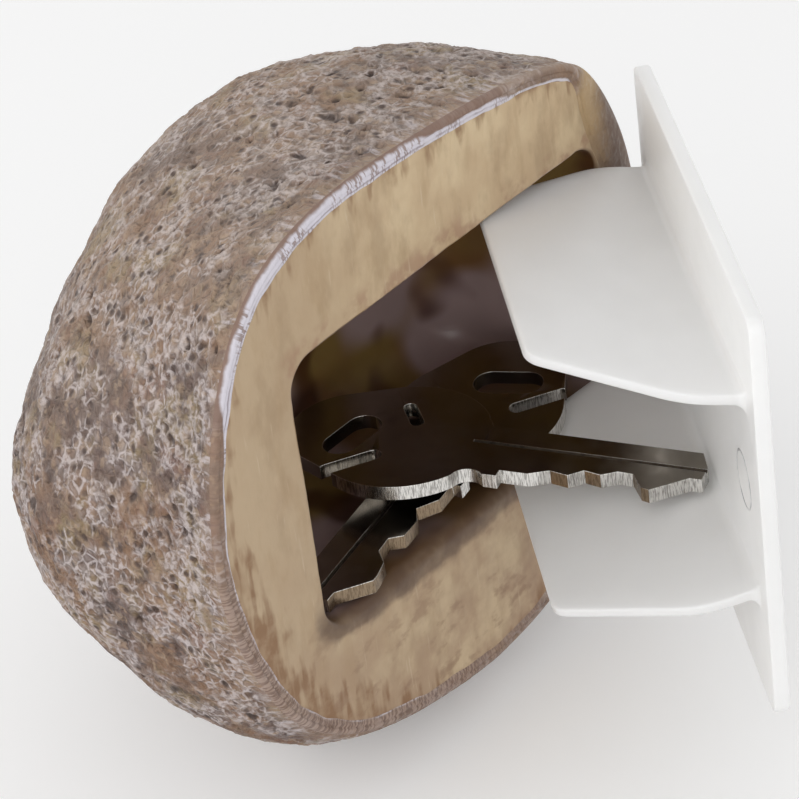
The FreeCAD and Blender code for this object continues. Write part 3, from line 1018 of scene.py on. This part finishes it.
def painted_ridge(add, colour, place, end, skin):
    """Two lines of white with mauve-brown between and outside them, ticked across."""
    wear = skin["ridge_wear"]
    waver = add("less", add("TexNoise", place, per_mm(2.2), 3.0), 0.5)
    bead = add("plus", skin["bead"], add("times", waver, 0.3))
    patchy = add("less", add("TexNoise", place, per_mm(2.4), 3.0), 0.5)
    worn_paint = add("plus", wear, add("times", patchy, 0.6))
    # The white narrows towards the inner side of the bead as it wears.
    outer_side = add("ease", wear, 0.15, 0.75, 0.1, 0.86)
    on_bead = add("ease", add("less", bead, outer_side), 0.0, 0.16)
    on_bead = add("times", on_bead, add("ease", bead, 1.06, 0.96))
    left = add("ease", worn_paint, 0.98, 0.62, 0.0, 0.95)
    white = add("times", on_bead, left)
    # Ticks across the ridge break the white in places and show in the brown beside it.
    across = add("CombineXYZ", add("times", skin["girth"], 2.6), add("times", bead, 1.2), 0.0)
    ticks = add("TexNoise", across, 1.0, 3.0)
    places = patches(add, place, 7.0, 2.0, 0.46, 0.58, 0.0, 0.75)
    ticked = add("times", add("ease", ticks, 0.5, 0.58), places)
    white = add("times", white, add("less", 1.0, ticked))
    chalk = add("over", add("ease", ticks, 0.42, 0.58), "#A69084", "#745C50")
    under = add("over", add("ease", wear, 0.35, 0.6), "#80665A", chalk)
    shown = add("most", add("ease", wear, 0.58, 0.4), add("ease", wear, 0.64, 0.76, 0.15, 0.9))
    shown = add("times", add("ease", bead, -0.25, 0.04, 0.0, 0.85), shown)
    rest_of_rim = add("ease", end, 0.004, 0.018, 1.0, 0.35)
    shown = add("times", shown, rest_of_rim)
    colour = add("over", shown, colour, under)
    colour = add("over", white, colour, "#D9D5DE")
    groove = add("times", add("ease", bead, 0.62, 0.7), add("ease", bead, 0.86, 0.78))
    groove = add("times", groove, add("ease", worn_paint, 0.65, 0.35))
    broken = patches(add, place, 2.8, 2.0, 0.36, 0.62, 0.1, 0.6)
    return add("over", add("times", groove, broken), colour, "#75626A")


def painted_stone():
    """Cast resin sprayed brown, mauve and ochre, then dry-brushed: the chalky white paint
    stays on the crests between pits, and a dark wash lies in the hollows; painted shade
    darkens the pits and painted light brightens what faces up."""
    material, add, shader = new_material("dry_brushed_cast_resin")
    link = material.node_tree.links.new
    skin = carried_values(add, ("crest", "pit", "mound", "hollow", "off_ridge", "bead", "end_worn",
                                "ridge_wear", "girth"))
    place = add("TexCoord", out="Object")
    bent = bent_place(add, place)
    patch = add("TexNoise", bent, per_mm(6.5), 3.0, 0.55)
    net = add("TexVoronoi", bent, per_mm(PIT_SIZE), feature="DISTANCE_TO_EDGE")
    floors = pit_floors_wash_and_shade(add, bent, patch, skin["off_ridge"])
    end = end_reach(add, place, add("TexNoise", place, per_mm(8.0), 4.0, 0.55))
    end = add("plus", end, add("times", skin["off_ridge"], 0.0003))

    colour = sprayed_coats(add, place, bent, skin)
    colour = dry_brushed(add, colour, bent, patch, net, skin)
    # Paler on what faces up, partly dust and partly painted light from above, which leaves the pit
    # floors dark.
    facing_up = add("SeparateXYZ", add("NewGeometry", out="Normal"), out="Z")
    dust_and_top_light = add("ease", facing_up, 0.2, 0.8, 0.0, 0.18)
    colour = add("over", dust_and_top_light, colour, "#D2BDA9")
    # Pit floors and the cast pits painted dark: a dark wash, and painted shade in them.
    colour = add("over", floors, colour, "#46322A")
    pits = add("ease", skin["pit"], 0.3, 0.85, 0.0, 0.85)
    colour = add("over", pits, colour, "#40302A")
    colour = rubbed_end(add, colour, end, skin)
    colour = brush_flicks(add, colour, skin)
    colour = painted_ridge(add, colour, place, end, skin)
    link(colour, shader["Base Color"])

    rough = patches(add, bent, 0.9, 3.0, 0.35, 0.65, 0.42, 0.68)
    link(rough, shader["Roughness"])
    shader["IOR"].default_value = 1.5
    height = add("ease", net, 0.0, 0.3, 1.1, 0.0)
    grit = add("TexNoise", bent, per_mm(0.8), 4.0, 0.6)
    height = add("plus", height, add("times", grit, 1.6))
    height = add("less", height, add("times", floors, 1.1))
    away = add("ease", skin["off_ridge"], 0.2, 2.5, 0.25, 1.0)
    bump = add("Bump", add("times", away, 0.9), 0.32 * MM, None, height)
    link(bump, shader["Normal"])
    return material


def base_wash(add, place, side, height, low, clouds, to_mouth, scratches):
    """Clean tan above, cloudy brown below, to the right and towards the pivot end, darkened
    there partly as painted shade, lightly scratched.
    """
    cloudy = add("ease", clouds, 0.36, 0.66)
    colour = add("over", cloudy, "#D2BC99", "#C4AB89")
    left = add("times", add("ease", side, 0.0, -0.03), 0.7)
    colour = add("over", left, colour, "#B0987C")
    veils = patches(add, place, 5.0, 4.0, 0.48, 0.68, 0.0, 0.5, rough=0.6,
                    stretch=(1.0, 1.0, 0.45))
    colour = add("over", veils, colour, "#A1886A")
    streaks = patches(add, place, 2.6, 4.0, 0.48, 0.72, 0.0, 0.4, rough=0.55,
                      stretch=(1.0, 1.0, 0.35))
    colour = add("over", streaks, colour, "#A98E6C")
    # Darker below and towards the right: brown paint, and painted shade.
    worn = add("times", low, add("ease", clouds, 0.3, 0.62, 0.25, 1.0))
    to_right = add("ease", side, -0.022, 0.018, 0.55, 1.0)
    colour = add("over", add("times", worn, to_right), colour, "#A0836A")
    low_smears_and_shade = patches(add, place, 3.4, 4.0, 0.52, 0.66, 0.0, 0.55, rough=0.6,
                     stretch=(1.0, 0.6, 1.0))
    colour = add("over", add("times", low_smears_and_shade, low), colour, "#86664E")
    top_lip = add("times", add("ease", height, 0.066, 0.069), add("ease", to_mouth, 4.5, 1.0))
    broken = patches(add, place, 2.8, 4.0, 0.42, 0.62, 0.1, 0.75)
    colour = add("over", add("times", top_lip, broken), colour, "#A5836A")
    # Towards the pivot end: brown paint, and painted shade where the face rounds off.
    end = add("ease", end_reach(add, place, clouds), *END_BROWN_AND_SHADE_REACH, 0.0, 0.95)
    colour = add("over", end, colour, END_BROWN_AND_SHADE)
    scratched = add("ease", scratches, 0.66, 0.8, 0.0, 0.3)
    return add("over", scratched, colour, "#DACBB0")


def rim_strokes(add, colour, place, side, height, face):
    """Brown strokes from the rim: broad at the lower left, short and broken along the top."""
    upright = add("Mapping", place, None, None, (1.0, 1.0, 0.22))
    fingers = add("TexNoise", upright, per_mm(1.6), 2.0)
    reach = add("ease", fingers, 0.36, 0.68, -2.0, 2.2)
    broad = add("times", add("ease", side, -0.006, -0.026), add("ease", height, 0.066, 0.044))
    reach = add("plus", reach, add("times", broad, 3.4))
    swing = patches(add, place, 6.0, 2.0, 0.4, 0.6, -1.3, 0.5)
    gap = add("less", add("plus", reach, swing), face["from_edge"])
    thin = patches(add, place, 3.0, 3.0, 0.36, 0.6, 0.5, 0.9, rough=0.6)
    rest_of_rim = add("ease", face["end_worn"], 0.3, 0.05)
    thin = add("times", thin, rest_of_rim)
    strokes = add("times", add("ease", gap, -1.6, 2.8), thin)
    return add("over", strokes, colour, "#84603F")


def lower_lip_grime_and_key_shadow(add, colour, place, low_lip, to_mouth):
    """Grime along the lower lip, where the face rolls over into the cavity, and the painted
    shadow of the keys that lie over it.
    """
    ragged = add("less", add("TexNoise", place, per_mm(3.0), 3.0), 0.5)
    ragged = add("times", ragged, 6.0)
    # The brown band along the lower lip: grime, and painted shadow of the keys.
    grime = add("ease", add("plus", to_mouth, ragged), 3.4, -1.6)
    grime = product(add, grime, low_lip, 0.9)
    colour = add("over", grime, colour, "#5E4636")
    # The darkest band, close to the lip: grime, and painted shadow of the keys.
    pooled = add("plus", to_mouth, add("times", ragged, 0.25))
    pooled = add("times", add("ease", pooled, 2.6, 1.2), low_lip)
    return add("over", add("times", pooled, 0.55), colour, "#4E3624")


def cavity_varnish(add, colour, place, low_lip, to_mouth):
    """Varnish over brown, clouded olive in places, mauve and rust in others; the mauve is partly a
    painted sheen.
    """
    inside = "#7E5C38"
    # The second cloud, mauve, is mauve paint and painted sheen.
    for size, low, high, most, cloud in ((11.0, 0.38, 0.62, 1.0, "#8A7040"),
                                         (16.0, 0.44, 0.62, 1.0, "#A89290"),
                                         (9.5, 0.52, 0.68, 0.85, "#4A2614")):
        share = patches(add, place, size, 1.0, low, high, 0.0, most)
        inside = add("over", share, inside, cloud)
    begins = add("ease", low_lip, 0.0, 1.0, -0.7, -5.5)
    into_cavity = add("ease", to_mouth, begins, 0.05, 1.0, 0.0)
    return add("over", into_cavity, colour, inside)


def base_and_cavity():
    """Smooth resin with a thin tan wash, strokes of the brown coat dragged over its rim, and
    varnish pooled dark and glossy inside the cavity."""
    material, add, shader = new_material("washed_resin_base_and_cavity")
    link = material.node_tree.links.new
    place = add("TexCoord", out="Object")
    face = carried_values(add, ("to_mouth", "from_edge", "end_worn"))
    to_mouth = face["to_mouth"]
    height = add("SeparateXYZ", place, out="Z")
    side = height.node.outputs["Y"]
    low = add("ease", height, 0.046, 0.012)
    low_lip = add("ease", height, 0.037, 0.031)
    clouds = add("TexNoise", place, per_mm(8.0), 4.0, 0.55)
    upright = add("Mapping", place, None, None, (1.0, 1.6, 0.16))
    scratches = add("TexNoise", upright, per_mm(1.0), 2.0)

    colour = base_wash(add, place, side, height, low, clouds, to_mouth, scratches)
    colour = rim_strokes(add, colour, place, side, height, face)
    colour = lower_lip_grime_and_key_shadow(add, colour, place, low_lip, to_mouth)
    colour = cavity_varnish(add, colour, place, low_lip, to_mouth)
    link(colour, shader["Base Color"])

    link(add("ease", to_mouth, 0.3, -1.0, 0.5, 0.3), shader["Roughness"])
    shader["IOR"].default_value = 1.5
    upright = add("Mapping", place, None, None, (1.0, 1.0, 0.5))
    grain = add("TexNoise", upright, per_mm(1.3), 4.0, 0.55)
    grain = add("plus", grain, add("times", scratches, 0.5))
    outside = add("ease", to_mouth, -1.0, 0.5, 0.03, 1.0)
    bump = add("Bump", add("times", outside, 0.3), 0.1 * MM, None, grain)
    link(bump, shader["Normal"])
    return material


def natural_polypropylene():
    """Uncoloured polypropylene, injection moulded: milky, satin, light glows through thin parts."""
    material, add, shader = new_material("natural_polypropylene")
    link = material.node_tree.links.new
    place = add("TexCoord", out="Object")
    clouds = patches(add, place, 14.0, 2.0, 0.35, 0.65)
    colour = add("over", clouds, "#EFEFEE", "#EBEBEA")
    # A dark grey line, broken in places, is painted round each ejector pin's mark: painted shade
    # along its fine raised line.
    broken = patches(add, place, 3.0, 2.0, 0.34, 0.6, 0.25, 0.8)
    for end in (-1, 1):
        centre = opened(np.array([(PLATE_INNER, end * EJECTOR_REACH, 0.0)]))[0]
        away = add("VectorMath", place, tuple(centre), operation="DISTANCE")
        off_line = add("less", away, EJECTOR_RADIUS * MM)
        off_line = add("Math", off_line, operation="ABSOLUTE")
        line = add("ease", off_line, 0.26 * MM, 0.1 * MM)
        colour = add("over", add("times", line, broken), colour, "#7C7C84")
    link(colour, shader["Base Color"])
    shader["Subsurface Weight"].default_value = 0.9
    shader["Subsurface Radius"].default_value = (1.0, 1.0, 0.97)
    shader["Subsurface Scale"].default_value = 5.0 * MM
    shader["IOR"].default_value = 1.49
    rough = add("TexNoise", place, per_mm(2.5), 3.0)
    link(add("ease", rough, 0.3, 0.7, 0.34, 0.46), shader["Roughness"])
    ripple = add("TexNoise", place, per_mm(5.0), 2.0)
    link(add("Bump", 0.25, 0.12 * MM, None, ripple), shader["Normal"])
    return material


def key_metal(name, colour_hex, second_hex, metal_rough, marks_mm, marks_share):
    """Nickel-plated brass: rolled faces are polished and dark, sheared and milled flanks carry
    fine marks across them that sparkle; the marks are drawn coarse enough to show."""
    material, add, shader = new_material(name)
    link = material.node_tree.links.new
    place = add("TexCoord", out="Object")
    shader["Metallic"].default_value = 1.0
    upright = add("Mapping", place, None, None, (1.0, 1.0, 0.12))
    marks = add("TexNoise", upright, per_mm(marks_mm), 2.0, 0.6)
    marked = add("ease", marks, 0.44, 0.62, 0.0, marks_share)
    link(add("over", marked, colour_hex, second_hex), shader["Base Color"])
    smudges = add("TexNoise", place, per_mm(3.0), 1.0)
    rough = add("ease", smudges, 0.3, 0.7, metal_rough - 0.03, metal_rough + 0.05)
    link(rough, shader["Roughness"])
    link(add("Bump", 0.5 * marks_share, 0.05 * MM, None, marks), shader["Normal"])
    return material


# ---------------------------------------------------------------- stage

def studio():
    """White air that lights most from the sides, a pale paper floor and two weak soft lamps."""
    scene = bpy.context.scene
    scene.view_settings.view_transform = "Standard"
    world = bpy.data.worlds.new("studio_air")
    scene.world = world
    world.use_nodes = True
    world.node_tree.nodes.clear()
    add = partial(node, world.node_tree)
    seen = add("most", add("LightPath", out="Is Camera Ray"),
               add("LightPath", out="Is Glossy Ray"))
    seen = add("most", seen, add("LightPath", out="Is Transmission Ray"))
    upward = add("SeparateXYZ", add("TexCoord", out="Generated"), out="Z")
    level = add("most", seen, add("ease", upward, 0.0, 1.0, 1.0, 0.62))
    add("OutputWorld", add("Background", (1, 1, 1, 1), level))

    far = 3.0
    floor = new_object("floor", [(-far, -far, 0), (far, -far, 0), (far, far, 0), (-far, far, 0)],
                       [(0, 1, 2, 3)], smooth=False)
    material, add, shader = new_material("white_paper_floor")
    shader["Base Color"].default_value = linear("#F2F2F2")
    shader["Roughness"].default_value = 0.9
    shader["Specular IOR Level"].default_value = 0.1
    seen = add("most", add("LightPath", out="Is Camera Ray"),
               add("LightPath", out="Is Glossy Ray"))
    shader["Emission Color"].default_value = (1, 1, 1, 1)
    material.node_tree.links.new(add("times", seen, 0.16), shader["Emission Strength"])
    floor.data.materials.append(material)

    for name, spot, power in (("left_softbox", (-0.42, -0.78, 0.50), 2.4),
                              ("right_softbox", (0.58, -0.72, 0.42), 1.8)):
        lamp = bpy.data.lights.new(name, "AREA")
        lamp.shape = "SQUARE"
        lamp.size = 0.8
        lamp.energy = power
        holder = placed(name, lamp)
        holder.location = spot
        aim = Vector((0, 0, 0.045)) - Vector(spot)
        holder.rotation_euler = aim.to_track_quat("-Z", "Y").to_euler()


def camera():
    """Looks from the front right and above, tipped a little; its place is in mm."""
    azimuth, elevation, roll = (math.radians(a) for a in (42.36, 32.55, -7.69))
    aside, below, back = -8.4, -2.17, 447.6
    ahead = Vector((-math.sin(azimuth) * math.cos(elevation),
                    math.cos(azimuth) * math.cos(elevation), -math.sin(elevation)))
    level = Vector((math.cos(azimuth), math.sin(azimuth), 0))
    up = level.cross(ahead)
    right = math.cos(roll) * level + math.sin(roll) * up
    up = math.cos(roll) * up - math.sin(roll) * level
    spot = (aside * right + below * up - back * ahead + ROCK_ORIGIN) * MM
    data = bpy.data.cameras.new("camera")
    data.lens = 158.35
    data.sensor_width = 36.0
    holder = placed("camera", data)
    turn = Matrix((right, up, -ahead)).transposed().to_4x4()
    holder.matrix_world = Matrix.Translation(spot) @ turn
    bpy.context.scene.camera = holder


def main():
    """Builds the stage and the four pieces, and says what each one stands for."""
    camera()
    studio()
    casting, inside = rock()
    for material in (painted_stone(), base_and_cavity()):
        casting.data.materials.append(material)
    casting.data.polygons.foreach_set("material_index", inside)
    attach(casting, "rock")
    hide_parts("rock_body")

    moulding = cover()
    moulding.data.materials.append(natural_polypropylene())
    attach(moulding, "cover")
    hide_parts("cover")

    finishes = (key_metal("polished_nickel_plate", "#8F887E", "#857D72", 0.22, 3.0, 0.3),
                key_metal("sheared_nickel_flank", "#E2E0DC", "#5A524A", 0.22, 0.17, 0.6),
                # Brass flank, its dark tone partly a painted reflection of the rock.
                key_metal("brass_flank_and_painted_reflection", "#96846E", "#5E4E3E", 0.28, 0.17, 0.6),
                # Dark finish for the groove: painted shade.
                key_metal("groove_painted_shade", "#4A423A", "#2C2620", 0.45, 0.5, 0.6))
    for name, solid, body, place, mirrored in (
            ("upper_key", "key_1", "upper_key", KEY_1_PLACE, False),
            ("lower_key", "key_2", "lower_key", KEY_2_PLACE, True)):
        key = house_key(name, solid, place, mirrored, finishes)
        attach(key, body)
        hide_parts(solid)


main()
bpy.context.view_layer.update()
